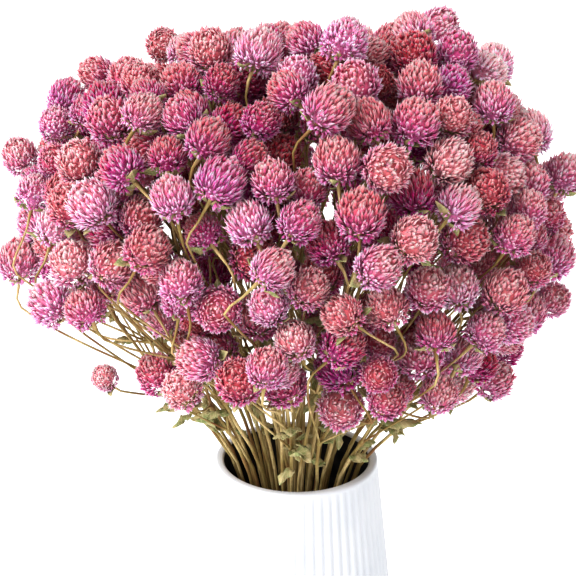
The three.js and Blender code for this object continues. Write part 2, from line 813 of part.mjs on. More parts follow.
/** A ring's corners counted from the one that twists it least against an earlier ring. */
function bestStart(body, earlier, ring) {
  const shifted = (shift) => ring.map((corner, k) => ring[(k + shift) % SIDES]);
  const twist = (turned) => earlier.reduce(
    (sum, corner, k) => sum + body.places[corner].distanceTo(body.places[turned[k]]),
    0,
  );
  const starts = ring.map((corner, k) => shifted(k));
  return starts.reduce((best, next) => (twist(next) < twist(best) ? next : best));
}

/** A whole spray: stem, knuckles, stalks and heads as one body. */
function buildSpray(plan, tint) {
  const body = new Body();
  const rise = vector(0, 0, 1);
  let ring = body.ring(plan.floor, rise, STEM_RADIUS, 0, SIDES, STEM_COLOUR);
  body.face(ring[2], ring[1], ring[0]);
  ring = body.grow(ring, plan.waist, rise, STEM_RADIUS, STEM_COLOUR);
  const leaving = plan.forks[0].place.clone().sub(plan.mouth.place).normalize();
  const through = plan.mouth.place.clone().sub(plan.waist).normalize().add(leaving).normalize();
  ring = body.grow(ring, plan.mouth.place, through, STEM_RADIUS, STEM_COLOUR);
  let below = plan.mouth.place;
  plan.forks.forEach((fork, k) => {
    const { ports, upper } = addKnuckle(body, ring, fork.place, knuckleTurn(plan, k));
    plan.pairs[k].forEach((end, side) => addHangingHead(body, ports[side], fork.place, end, tint));
    if (plan.leaf?.fork === k) {
      addLeaf(body, ports[2], plan.leaf);
    } else {
      body.face(...ports[2]);
    }
    ring = upper;
    below = fork.place;
  });
  addHangingHead(body, ring, below, plan.tip, tint);
  return body.geometry();
}

/** The vase: fluted outside, smooth inside, open at the top. */
function buildVase() {
  const body = new Body();
  const white = new THREE.Color(VASE_WHITE);
  const columns = 2 * FLUTES;
  const wallTop = VASE_HEIGHT - FLUTES_END_BELOW_RIM;
  const taper = (SHOULDER_RADIUS - RIM_OUTER_RADIUS) / (wallTop - SHOULDER_HEIGHT);
  const level = (radius, height, dip, count) => {
    const corners = [];
    for (let k = 0; k < count; k += 1) {
      const angle = (2 * Math.PI * k) / count;
      const reach = k % 2 === 1 ? radius - dip : radius;
      corners.push(body.corner(vector(reach * Math.cos(angle), reach * Math.sin(angle), height), white));
    }
    return corners;
  };
  const inner = (height) => RIM_INNER_RADIUS + (wallTop - height) * taper;
  const levels = [
    level(FOOT_RADIUS, 0, 0, FLUTES),
    level(FOOT_ROUND_RADIUS, FOOT_ROUND_HEIGHT, 0, FLUTES),
    level(SHOULDER_RADIUS, SHOULDER_HEIGHT, FLUTE_DEPTH, columns),
    level(RIM_OUTER_RADIUS, wallTop, FLUTE_DEPTH, columns),
    level(RIM_OUTER_RADIUS, wallTop + FLUTE_DEPTH, 0, FLUTES),
    level(RIM_OUTER_RADIUS - RIM_BEVEL, VASE_HEIGHT, 0, FLUTES),
    level(RIM_INNER_RADIUS, VASE_HEIGHT, 0, INNER_SIDES),
    level(inner(FLOOR_THICKNESS + SHOULDER_HEIGHT), FLOOR_THICKNESS + SHOULDER_HEIGHT, 0, INNER_SIDES),
    level(INNER_FLOOR_RADIUS, FLOOR_THICKNESS, 0, INNER_SIDES),
  ];
  for (let k = 0; k + 1 < levels.length; k += 1) {
    body.band(levels[k], levels[k + 1]);
  }
  const foot = levels[0];
  for (let k = 1; k + 1 < foot.length; k += 1) {
    body.face(foot[0], foot[k + 1], foot[k]);
  }
  const floor = levels[levels.length - 1];
  for (let k = 1; k + 1 < floor.length; k += 1) {
    body.face(floor[0], floor[k], floor[k + 1]);
  }
  return body.geometry();
}

const bunch = new THREE.Group();
bunch.name = 'dried_globe_amaranth';

const vaseMaterial = new THREE.MeshStandardMaterial({ color: VASE_WHITE, roughness: 0.45, metalness: 0 });
const vase = new THREE.Mesh(buildVase(), vaseMaterial);
vase.name = 'vase';
bunch.add(vase);

const heads = layOutHeads();
spreadHeads(heads);
tradeHeads(heads);
for (const head of heads) {
  head.place = inWorld(head.place);
}
const plans = planStems(heads);
untangle(plans, heads);
const pieces = stemPieces(plans);
const taken = [];
let leaves = 0;
for (const plan of plans) {
  plan.leaf = leaves < MOST_LEAVES ? findLeaf(plan, pieces, heads, taken) : null;
  if (plan.leaf) {
    const radius = LEAF_HALF_WIDTH_PART * plan.leaf.length;
    taken.push(...plan.leaf.line.map((place) => ({ place, radius })));
    leaves += 1;
  }
}
plans.forEach((plan, k) => {
  const tint = new THREE.Color(HEAD_PINKS[k % HEAD_PINKS.length]);
  const material = new THREE.MeshStandardMaterial({
    color: 0xffffff,
    vertexColors: true,
    roughness: 0.9,
    metalness: 0,
  });
  const spray = new THREE.Mesh(buildSpray(plan, tint), material);
  spray.name = `spray_${String(k + 1).padStart(2, '0')}`;
  bunch.add(spray);
});

export default bunch;
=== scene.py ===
"""A bunch of dried globe amaranth standing in a white fluted vase.

Every spray of the bunch has a plain solid, which says where its stem, stalks, heads and leaves
are. Each spray is modelled again in those places with papery bracts, round stems and curled
leaves, and the vase gets its glazed ribs.
"""

import json
from math import acos, atan2, cos, hypot, pi, radians, sin, tan

import bmesh
import bpy
import numpy as np
from bpy.props import FloatProperty, FloatVectorProperty, IntProperty, PointerProperty
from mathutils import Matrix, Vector
from numpy.linalg import norm


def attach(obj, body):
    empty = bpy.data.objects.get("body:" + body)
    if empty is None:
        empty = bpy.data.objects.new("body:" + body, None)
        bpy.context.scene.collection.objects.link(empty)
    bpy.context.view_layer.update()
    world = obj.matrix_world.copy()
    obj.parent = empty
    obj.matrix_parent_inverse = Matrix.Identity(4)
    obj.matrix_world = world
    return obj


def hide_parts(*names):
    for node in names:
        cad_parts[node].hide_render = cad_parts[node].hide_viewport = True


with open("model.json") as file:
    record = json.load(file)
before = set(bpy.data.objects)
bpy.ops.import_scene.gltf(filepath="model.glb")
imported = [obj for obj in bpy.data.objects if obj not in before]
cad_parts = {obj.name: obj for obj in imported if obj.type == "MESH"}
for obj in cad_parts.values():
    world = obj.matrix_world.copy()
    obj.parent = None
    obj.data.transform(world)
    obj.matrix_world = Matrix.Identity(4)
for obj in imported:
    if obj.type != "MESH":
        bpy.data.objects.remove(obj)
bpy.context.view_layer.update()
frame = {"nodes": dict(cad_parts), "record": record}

bl_info = {
    "name": "Dried globe amaranth in a vase",
    "version": (1, 0, 0),
    "blender": (4, 5, 0),
    "location": "View3D > Sidebar > Amaranth",
    "description": "Models the heads, stems, leaves and vase of a dried bunch of globe amaranth",
    "category": "Object",
}

MM = 0.001
GOLDEN_TURN = radians(137.508)
SPRAYS = sorted(name for name in frame["nodes"] if name.startswith("spray"))
SLOTS = {row["node"]: row["material_slot"] for row in frame["record"]["subparts"]}

# How far the heads of each colour lean to orchid (below 0) or salmon (above 0).
SLOT_TONES = {"dried_heads_rose": 0.0, "dried_heads_orchid": -0.14, "dried_heads_salmon": 0.14}

# The numbers that each corner carries for its material. On a bract, rise runs from the lowest bracts
# to the crown, along from a bract's root to its tip, and shade is its lightness: partly tone that
# differs at random, partly painted shade on the heads deep in the crown and on the core. On a leaf,
# across runs from edge to edge and along from its root to its tip.
BRACT_MARKS = ("rise", "along", "shade")
LEAF_MARKS = ("across", "along")

# How the bracts stand on a head of radius one, from the lowest to those of the crown.
LOWEST_BRACT = -0.82
CROWDING = 0.8
WIDEST_PART = 0.6
ROOT_REACH = 0.74
LOWEST_ROOT = 0.9 * pi
SIDE_LEAN = radians(33)
CROWN_LEAN = radians(14)
OPENEST, MOST_FURLED = 0.5, 1.1
OPEN_WIDENS = 0.7
CROWN_WIDENS = 0.6
DROP_OPENS = 1.1
LOW_BRACT_SIZE = 1.15
CROWN_BRACT_SIZE = 1.1

# How far the bracts stray from that, and how much more the tips of the lowest do.
LEVEL_STRAYS, HIGHEST_LEVEL = 0.012, 0.999
TURN_STRAYS = 0.07
ROOT_TURN_STRAYS = 0.1
TIP_STRAYS, LOW_TIP_STRAYS = 0.09, 0.05
TIP_TURN_STRAYS = 0.1
REACH_STRAYS = 0.06
TWIST_STRAYS = 0.35
RISE_STRAYS = 0.07
PALE_STRAYS = 0.08
BRACT_SIZES, BRACT_SHADES = (0.8, 1.2), (0.92, 1.1)

# The core inside the bracts: its size, where its underside starts and how that narrows, how far from
# its middle it takes the colour of the crown and of the lowest bracts, and its other marks.
CORE_SIZE = (0.8, 0.8, 0.89)
UNDERSIDE_STARTS = -0.3
UNDERSIDE_SIZE = (0.6, 0.6, 0.8)
# The core's shade mark darkens it a little: painted shade where it shows between the bracts.
CORE_RISE, CORE_ALONG, CORE_SHADE = 0.8, 0.6, 0.92

# How far heads differ at random in tone and in lightness. Heads deep in the crown get painted shade,
# which ends between these parts of the way from the middle of the crown to its outside.
TONE_STRAYS, LIGHT_STRAYS = 0.18, 0.15
INNER_SHADE_FROM_TO = (0.45, 0.85)

# How finely stems and stalks are followed, and a stalk's radius at its fork, below its head and in it
# beside its plain radius. It ends at this depth in a head of radius one. A swelling gets its own
# points where there is room for them.
STEM_STEP, STALK_STEP = 22 * MM, 7 * MM
STALK_AT_FORK, STALK_BELOW_HEAD, STALK_IN_HEAD = 1.5, 1.4, 2.2
SEAT_DEPTH = 0.6
SWELLING_ROUNDNESS = 0.7
SWELLING_POINTS, SWELLING_ROOM = (0.45, 1.0), 1.3

# Rows and columns of the two leaf patterns, and how a leaf is folded, waved and puckered.
LARGE_LEAF, SMALL_LEAF = (12, 6), (4, 2)
LEAF_TIP_WIDTH, LEAF_WIDEST_LOW, LEAF_FULLNESS = 0.05, 0.75, 0.8
LEAF_FOLD, LEAF_ROOT_CURL = 0.35, 0.3
EDGE_WAVES = 9
PUCKER_HEIGHT, PUCKERS_ALONG, PUCKERS_ACROSS = 0.12, 13, 5

# Pairs are the least and the most that chance may draw. Widths are halves, as parts of the length,
# and the grown leaf's is a part of the plain one's.
GROWN_CURLS, GROWN_CRUMPLES, GROWN_WIDTH = (0.5, 1.6), (0.6, 1.3), 1.15
WITHERED_PLACES, WITHERED_SLOPES = (0.25, 1.0), (-0.4, 0.9)
WITHERED_SIZES, WITHERED_CURLS, WITHERED_CRUMPLES = (0.6, 1.1), (1.0, 2.4), (0.8, 1.8)
WITHERED_WIDTH, WITHERED_DROOP = 0.3, 0.9
CUP_SIZES, CUP_OPENINGS, CUP_CRUMPLES = (0.75, 1.2), (0.0, 0.9), (0.2, 0.7)
CUP_WIDTH, CUP_CURL, CUP_TURN_STRAYS = 0.36, 0.5, 0.2

# How deep under a head and how far out its two small leaves begin, as parts of its radius, and how
# they run out and up after their middle.
CUP_DEPTH, CUP_START, CUP_RUNS_OUT, CUP_RUNS_UP = 0.86, 0.06, 0.35, 0.9

# How finely leaves are followed, and how far along a leaf its direction is taken.
GROWN_STEP, WITHERED_STEP, CUP_STEP = 4 * MM, 2 * MM, 1.5 * MM
RUN_SPAN = 0.05

# Where each series of random draws starts: the bracts of a kind, the heads and the leaves.
BRACT_DRAWS, HEAD_DRAWS, LEAF_DRAWS = 40, 7, 19

# What counts as nearly there, on a pattern of unit size and in the bunch, and the least length that is
# divided by.
CLOSE, CLOSE_BY, TINY = 0.01, 0.1 * MM, 1e-9

# What the plain solids were drawn with, to find their parts again.
WELD = 0.02 * MM
TIPS_ON_A_HEAD = 8
PLAIN_CROWN_PART = 0.84
LONGEST_RING_EDGE = 3.2 * MM
KNUCKLE_RINGS_APART = 3.6 * MM
HEAD_LENGTHENING = 1.1
MIDDLE_HEAD_RADIUS = 10.5 * MM
MOUTH_HEIGHT = 200 * MM

FLOOR_SIZE = 14

# The key light comes from the upper left. The fill is white down where the walls of a studio are and
# dimmer overhead: it changes between these heights, on a sky of radius one.
KEY_DIRECTION = (-0.9, -0.6, 0.85)
KEY_ANGLE = radians(35)
FILL_HEIGHTS = (0.25, 0.6)
FILL_LOW, FILL_OVERHEAD = 1.24, 0.82

# The camera, about where the photograph was taken from.
CAMERA_PLACE = (-4.9 * MM, -705.3 * MM, 560.4 * MM)
CAMERA_PITCH = radians(20)
HALF_VIEW = radians(12)
SENSOR_WIDTH = 36


def linear(code):
    """An sRGB hex colour as linear numbers."""
    parts = [int(code[k : k + 2], 16) / 255 for k in (1, 3, 5)]
    return [c / 12.92 if c <= 0.04045 else ((c + 0.055) / 1.055) ** 2.4 for c in parts]


def colour_choice(name, description, code):
    """A colour that the user may change."""
    return FloatVectorProperty(
        name=name, description=description, subtype="COLOR", size=3, min=0, max=1, default=linear(code)
    )


def number_choice(name, description, default, low=0, high=5, **more):
    """A plain number that the user may change."""
    return FloatProperty(name=name, description=description, default=default, min=low, max=high, **more)


def length_choice(name, description, default):
    """A length that the user may change."""
    return number_choice(name, description, default, unit="LENGTH", precision=4)


class HeadSettings(bpy.types.PropertyGroup):
    """The papery flower heads."""

    bracts: IntProperty(name="Bracts", description="Bracts on a head", default=370, min=40, max=600)
    kinds: IntProperty(name="Kinds", description="How many kinds of head", default=6, min=1, max=12)
    swell: number_choice("Swell", "Reach of the bracts beside the plain spikes", 1.06, 0.8, 1.15)
    bract_width: length_choice("Bract width", "Width of a bract at its widest", 1.35 * MM)
    bract_thickness: length_choice("Bract thickness", "Height of a bract's keel", 0.65 * MM)
    # Painted shade: how much darker the heads deep inside the crown are coloured.
    inner_shade: number_choice("Inner depth", "How much darker the heads deep inside are", 0.6, 0, 1)
    # The root colour of the bracts: partly their own deeper colour, partly painted shade deep between
    # them.
    root_and_shade: colour_choice("Crevice", "Wine red deep between the bracts", "#d05888")
    body_low: colour_choice("Low bract", "Orchid pink of the lowest bracts", "#e274b4")
    body_side: colour_choice("Side bract", "Rose of the bracts round the sides", "#e66e9e")
    body_crown: colour_choice("Crown bract", "Salmon red of the bracts on top", "#ea8690")
    tip_low: colour_choice("Low tip", "Pale lilac tips of the lowest bracts", "#f9def3")
    tip_side: colour_choice("Side tip", "Pale pink tips round the sides", "#f7ccdc")
    tip_crown: colour_choice("Crown tip", "Peach tips on top", "#f7c4c0")


class StemSettings(bpy.types.PropertyGroup):
    """The dried stems and stalks."""

    foot_radius: length_choice("Stem radius", "Radius of a stem at its foot", 1.05 * MM)
    top_radius: length_choice("Top radius", "Radius of a stem at its last knuckle", 0.85 * MM)
    stalk_radius: length_choice("Stalk radius", "Radius of the thin stalk under a head", 0.6 * MM)
    knuckle_radius: length_choice("Knuckle radius", "Radius of the swelling at a fork", 1.6 * MM)
    knuckle_reach: length_choice("Knuckle reach", "Half the length of the swelling at a fork", 3 * MM)
    straw: colour_choice("Straw", "Pale straw side of a dry stem", "#d8c38c")
    olive: colour_choice("Olive", "Olive of the fresher stems", "#9c8c52")
    brown: colour_choice("Brown", "Red brown of the oldest stems", "#8f6640")


class LeafSettings(bpy.types.PropertyGroup):
    """The curled leaves, the withered bits on the stems and the two small leaves under each head."""

    thickness: length_choice("Thickness", "Thickness of a dry leaf", 0.45 * MM)
    cup_length: length_choice("Cup leaf length", "Length of the small leaves under a head", 11.5 * MM)
    withered_length: length_choice("Withered length", "Length of a withered leaf on a stem", 15 * MM)
    withered_share: number_choice("Withered share", "Share of places with a withered leaf", 0.5, 0, 1)
    green: colour_choice("Leaf green", "Grey green of the dry leaf", "#8b955f")
    tan: colour_choice("Leaf tan", "Dry patches and edges", "#b9a97c")
    vein: colour_choice("Vein", "Pale midrib and side veins", "#cdc69a")


class VaseSettings(bpy.types.PropertyGroup):
    """The fluted vase."""

    ribs: IntProperty(name="Ribs", description="Ribs round the vase", default=60, min=8, max=120)
    groove_depth: length_choice("Groove depth", "Depth of the grooves between the ribs", 1.2 * MM)
    glaze: colour_choice("Glaze", "White of the glaze", "#dadde2")
    glaze_thin: colour_choice("Thin glaze", "Cooler white where the glaze lies thin", "#d4d8de")
    # The inside colours are painted shade: dark where the inside lies in shadow, with paler patches.
    inside: colour_choice("Inside", "Dark bare inside of the vase", "#26262b")
    inside_shade_patches: colour_choice("Inside dust", "Paler dusty patches inside the vase", "#3b383a")


class StageSettings(bpy.types.PropertyGroup):
    """Floor, lights and camera."""

    floor: colour_choice("Floor", "Pale floor", "#f6f6f6")
    glow: number_choice("Table glow", "Light from below, which keeps shadows off the floor", 0.35)
    contrast: number_choice("Gamma", "Gamma of the picture: below 1 gives deeper shadows", 0.86, 0.5)
    exposure: number_choice("Exposure", "Exposure of the picture", 0.08, -5)
    sun: number_choice("Key light", "Strength of the main soft light", 3.4)
    sky: number_choice("Fill", "Strength of the even light all round", 0.78)


# Reading the plain solids


def flood(start, reach):
    """Everything that can be reached from the start, in order."""
    found, waiting = {start}, [start]
    while waiting:
        for there in reach(waiting.pop()):
            if there not in found:
                found.add(there)
                waiting.append(there)
    return sorted(found)


def read_spray(node):
    """The heads, stem, stalks and leaves of a spray, found in its plain solid.

    Only the point of a spike or leaf has three edges. Eight such points stand on each head and a
    lone one ends a leaf. All other corners lie in small rings round the stem and its stalks.
    """
    solid = bmesh.new()
    solid.from_mesh(node.data)
    bmesh.ops.remove_doubles(solid, verts=solid.verts, dist=WELD)
    place = [np.array(v.co) for v in solid.verts]
    near = [sorted(e.other_vert(v).index for e in v.link_edges) for v in solid.verts]
    solid.free()

    left = {v for v, others in enumerate(near) if len(others) == 3}
    spray = {"heads": [], "leaves": []}
    while left:
        group = set(flood(min(left), lambda v: [b for a in near[v] for b in near[a] if b in left]))
        left -= group
        core = sorted({a for v in group for a in near[v]})
        if len(group) == TIPS_ON_A_HEAD:
            spray["heads"].append(read_head(place, near, group, core))
        else:
            spray["leaves"].append(read_leaf(place, near, group, core))
    taken = set().union(*(part["corners"] for part in spray["heads"] + spray["leaves"]))
    rings = read_rings(place, near, [v for v in range(len(place)) if v not in taken])
    spray.update(join_rings(rings, near, spray))
    return spray


def read_head(place, near, points, core):
    """Middle, direction and size of a head."""
    inside = points | set(core)
    base = {v for v in core if any(a not in inside for a in near[v])}
    crown = next(v for v in core if v not in base and not base & set(near[v]))
    waist = [v for v in core if v not in base and v != crown]
    middle = np.mean([place[v] for v in waist], axis=0)
    facing = place[crown] - middle
    reach = norm(facing)
    return {
        "corners": inside,
        "hangs_from": {a for v in base for a in near[v] if a not in inside},
        "middle": middle,
        "facing": facing / reach,
        "radius": reach / PLAIN_CROWN_PART,
    }


def read_leaf(place, near, point, outer):
    """Middle line, width and over side of a leaf."""
    inner = sorted({a for v in outer for a in near[v]} - set(outer) - point)
    corners = point | set(outer) | set(inner)
    port = {a for v in inner for a in near[v]} - corners
    line, sides = [np.mean([place[v] for v in port], axis=0)], []
    for section in (inner, outer):
        pairs = [(a, b) for a in section for b in section if a < b]
        a, b = max(pairs, key=lambda pair: norm(place[pair[0]] - place[pair[1]]))
        line.append((place[a] + place[b]) / 2)
        sides.append(place[b] - place[a])
    line.append(place[min(point)])
    if sides[0] @ sides[1] < 0:
        sides[1] = -sides[1]
    return {"corners": corners, "line": line, "across": sides[0]}


def read_rings(place, near, corners):
    """The rings round the stem and stalks, the two rings of a knuckle taken together."""
    allowed, rings, ring_of = set(corners), [], {}

    def along_ring(v):
        linked = [a for a in near[v] if a in allowed]
        return [a for a in linked if norm(place[a] - place[v]) < LONGEST_RING_EDGE]

    for v in corners:
        if v not in ring_of:
            members = flood(v, along_ring)
            for a in members:
                ring_of[a] = len(rings)
            middle = np.mean([place[a] for a in members], axis=0)
            rings.append({"corners": members, "place": middle})
    joined = {}
    for k, ring in enumerate(rings):
        beside = {ring_of[a] for v in ring["corners"] for a in near[v] if a in ring_of}
        apart = {j: norm(rings[j]["place"] - ring["place"]) for j in beside if j < k}
        twin = min((j for j in apart if apart[j] < KNUCKLE_RINGS_APART), default=k)
        joined.setdefault(twin, []).append(ring)
    return [
        {
            "corners": {v for ring in twins for v in ring["corners"]},
            "place": np.mean([ring["place"] for ring in twins], axis=0),
            "knuckle": len(twins) == 2,
        }
        for twins in joined.values()
    ]


def join_rings(rings, near, spray):
    """The stem up to its last knuckle, and each head's stalk from the knuckle that it leaves."""
    ring_of = {v: k for k, ring in enumerate(rings) for v in ring["corners"]}
    foot = min(range(len(rings)), key=lambda k: rings[k]["place"][2])
    below, order = {foot: None}, [foot]
    for k in order:
        for v in sorted(rings[k]["corners"]):
            for a in near[v]:
                other = ring_of.get(a)
                if other is not None and other not in below:
                    below[other] = k
                    order.append(other)

    def down_to_knuckle(k):
        line = [k]
        while not rings[line[-1]]["knuckle"]:
            line.append(below[line[-1]])
        return line[::-1]

    stalks = []
    for head in spray["heads"]:
        start = ring_of[min(head["hangs_from"])]
        seat = head["middle"] - SEAT_DEPTH * head["radius"] * head["facing"]
        stalks.append([rings[k]["place"] for k in down_to_knuckle(start)] + [seat])
    stem = [[k for k in order if rings[k]["knuckle"]][-1]]
    while below[stem[-1]] is not None:
        stem.append(below[stem[-1]])
    stem = stem[::-1]
    return {
        "stem": [rings[k]["place"] for k in stem],
        "knots": [rings[k]["place"] for k in stem if rings[k]["knuckle"]],
        "stalks": stalks,
    }


# Small modelling helpers


def only(*objects):
    """Selects just these objects, the first one active."""
    if bpy.context.mode != "OBJECT":
        bpy.ops.object.mode_set(mode="OBJECT")
    bpy.ops.object.select_all(action="DESELECT")
    for thing in objects:
        thing.select_set(True)
    if objects:
        bpy.context.view_layer.objects.active = objects[0]


def edit_where(thing, kind, wanted):
    """Goes into edit mode with only the corners or faces selected whose middle the test accepts."""
    only(thing)
    bpy.ops.object.mode_set(mode="EDIT")
    bpy.ops.mesh.select_mode(type=kind)
    bpy.ops.mesh.select_all(action="DESELECT")
    bpy.ops.object.mode_set(mode="OBJECT")
    parts = thing.data.vertices if kind == "VERT" else thing.data.polygons
    for part in parts:
        part.select = bool(wanted(part.co if kind == "VERT" else part.center))
    bpy.ops.object.mode_set(mode="EDIT")


def taken_apart(thing):
    """The corners and faces of a pattern piece, which is then removed."""
    only(thing)
    mesh = thing.data
    places = np.array([v.co for v in mesh.vertices])
    faces = [tuple(p.vertices) for p in mesh.polygons]
    bpy.data.objects.remove(thing)
    bpy.data.meshes.remove(mesh)
    return places, faces


class Gathering:
    """Corners, faces and marks of many copies, gathered for one mesh."""

    def __init__(self, marks):
        self.places, self.faces, self.count = [], [], 0
        self.marks = {mark: [] for mark in marks}

    def add(self, places, faces, **marks):
        self.places.append(places)
        self.faces += [tuple(v + self.count for v in face) for face in faces]
        self.count += len(places)
        for mark, values in self.marks.items():
            values.append(np.broadcast_to(marks[mark], len(places)))

    def joined(self):
        """All corners, faces and marks."""
        marks = {mark: np.concatenate(values) for mark, values in self.marks.items()}
        return np.concatenate(self.places), self.faces, marks

    def piece(self, name, material):
        """Makes one smooth mesh object, with its marks as a number on each corner."""
        places, faces, marks = self.joined()
        mesh = bpy.data.meshes.new(name)
        mesh.from_pydata(places, [], faces)
        for mark, values in marks.items():
            layer = mesh.attributes.new(mark, "FLOAT", "POINT")
            layer.data.foreach_set("value", values.astype(np.float32))
        mesh.polygons.foreach_set("use_smooth", np.full(len(faces), True))
        mesh.materials.append(material)
        bpy.context.scene.collection.objects.link(bpy.data.objects.new(name, mesh))


def square_frame(heading):
    """Two directions square to a heading and to each other."""
    level = np.array([0.0, 0.0, 1.0]) if abs(heading[2]) < 0.9 else np.array([0.0, 1.0, 0.0])
    side = np.cross(level, heading)
    side /= norm(side)
    return side, np.cross(heading, side)


def smooth_line(points, step):
    """A line through the points with rounded bends, in steps of about one length."""
    points = [np.asarray(p, float) for p in points]
    ends = [2 * points[0] - points[1], *points, 2 * points[-1] - points[-2]]
    line = [points[0]]
    for before, a, b, after in zip(ends, ends[1:], ends[2:], ends[3:]):
        span = norm(b - a)
        leave, arrive = [way / max(norm(way), TINY) * span for way in (b - before, after - a)]
        count = max(2, round(span / step))
        for k in range(1, count + 1):
            t = k / count
            line.append(
                (2 * t**3 - 3 * t**2 + 1) * a
                + (t**3 - 2 * t**2 + t) * leave
                + (3 * t**2 - 2 * t**3) * b
                + (t**3 - t**2) * arrive
            )
    return line


# Materials


def add_node(tree, kind, output=0, **values):
    """Adds a shader node with its values, and returns the output asked for by name or number.

    A value is a property, a number for a socket, or another node's output to link. A socket is
    named as in the node, with _ for a blank, or by its number as in_6. The stops of a colour ramp
    are pairs of a place and a colour, and the span of a mapped range is what it maps from and to.
    """
    node = tree.nodes.new("ShaderNode" + kind)
    for name, value in values.items():
        if name == "span":
            for socket, number in zip(("From Min", "From Max", "To Min", "To Max"), value):
                node.inputs[socket].default_value = number
        elif name == "stops":
            elements = node.color_ramp.elements
            while len(elements) < len(value):
                elements.new(1)
            for element, (position, colour) in zip(elements, value):
                element.position = position
                element.color = (*colour, 1)
        elif hasattr(node, name):
            setattr(node, name, value)
        else:
            socket = node.inputs[int(name[3:]) if name.startswith("in_") else name.replace("_", " ")]
            if isinstance(value, bpy.types.NodeSocket):
                tree.links.new(value, socket)
            else:
                socket.default_value = (*value, 1)[:4] if socket.type == "RGBA" else value
    return node.outputs[output]


def new_material(name, **sockets):
    """A material whose plain shader has these values, and its tree."""
    material = bpy.data.materials.new(name)
    material.use_nodes = True
    shader = material.node_tree.nodes["Principled BSDF"]
    for socket, value in sockets.items():
        shader.inputs[socket.replace("_", " ")].default_value = value
    return material, material.node_tree


def dressed(material, **sources):
    """The material once its shader takes these sockets from other nodes."""
    tree = material.node_tree
    for socket, source in sources.items():
        tree.links.new(source, tree.nodes["Principled BSDF"].inputs[socket.replace("_", " ")])
    return material


def bract_material(look):
    """Dried papery bract: stiff and faintly silky, from a wine red root to a pale dry tip.

    The darker root is partly the bract's own colour and partly painted shade deep between the bracts.
    """
    material, tree = new_material(
        "dried_papery_bract",
        Roughness=0.6,
        IOR=1.45,
        Specular_IOR_Level=0.3,
        Sheen_Weight=0.25,
        Sheen_Roughness=0.5,
        Subsurface_Weight=0.7,
        Subsurface_Scale=2 * MM,
        Subsurface_Radius=(1.0, 0.45, 0.6),
    )
    marks = [add_node(tree, "Attribute", "Fac", attribute_name=mark) for mark in BRACT_MARKS]
    rise, along, shade = marks
    body_stops = [(0.12, look.body_low), (0.45, look.body_side), (0.85, look.body_crown)]
    tip_stops = [(0.12, look.tip_low), (0.5, look.tip_side), (0.85, look.tip_crown)]
    body, tip = [add_node(tree, "ValToRGB", Fac=rise, stops=stops) for stops in (body_stops, tip_stops)]
    above, pale = [
        add_node(tree, "MapRange", interpolation_type="SMOOTHSTEP", Value=along, span=span)
        for span in ((0.1, 0.5), (0.5, 1.1))
    ]
    bract = add_node(tree, "Mix", 2, data_type="RGBA", in_0=pale, in_6=body, in_7=tip)
    # Towards its root a bract takes the root colour: its own deeper colour and painted shade between
    # the bracts.
    rooted = add_node(tree, "Mix", 2, data_type="RGBA", in_0=above, in_6=look.root_and_shade, in_7=bract)
    place = add_node(tree, "TexCoord", "Object")
    fibre = add_node(tree, "TexNoise", Vector=place, Scale=1 / (0.7 * MM), Detail=2)
    faded = add_node(tree, "MapRange", Value=fibre, span=(0.3, 0.7, 0.92, 1.08))
    # Lightness follows the shade mark, with its painted shade on inner heads, and the fibre mottling.
    # Darker bracts are also made more saturated, as painted shade.
    light = add_node(tree, "Math", operation="MULTIPLY", in_0=shade, in_1=faded)
    depth = add_node(tree, "MapRange", Value=shade, span=(0.5, 1.2, 1.4, 0.8))
    colour = add_node(tree, "HueSaturation", Color=rooted, Saturation=depth, Value=light)
    relief = add_node(tree, "Bump", Height=fibre, Distance=0.1 * MM)
    return dressed(material, Base_Color=colour, Normal=relief)


def stem_material(look):
    """Dry herb stem: straw and olive with brown lengths, finely furrowed along its length."""
    material, tree = new_material("dried_herb_stem", Roughness=0.7, IOR=1.45, Specular_IOR_Level=0.35)
    place = add_node(tree, "TexCoord", "Object")
    upright = add_node(tree, "Mapping", Vector=place, Scale=(1, 1, 0.45))
    patches = add_node(tree, "TexNoise", Vector=upright, Scale=1 / (18 * MM), Detail=3)
    bark_stops = [(0.34, look.brown), (0.46, look.olive), (0.6, look.straw)]
    bark = add_node(tree, "ValToRGB", Fac=patches, stops=bark_stops)
    drawn_out = add_node(tree, "Mapping", Vector=place, Scale=(1, 1, 0.045))
    furrows = add_node(tree, "TexNoise", Vector=drawn_out, Scale=1 / (0.8 * MM), Detail=2)
    dark = add_node(tree, "MapRange", Value=furrows, span=(0.35, 0.6, 0.5, 0.0))
    colour = add_node(tree, "Mix", 2, data_type="RGBA", in_0=dark, in_6=bark, in_7=look.brown)
    relief = add_node(tree, "Bump", Height=furrows, Distance=0.25 * MM)
    return dressed(material, Base_Color=colour, Normal=relief)


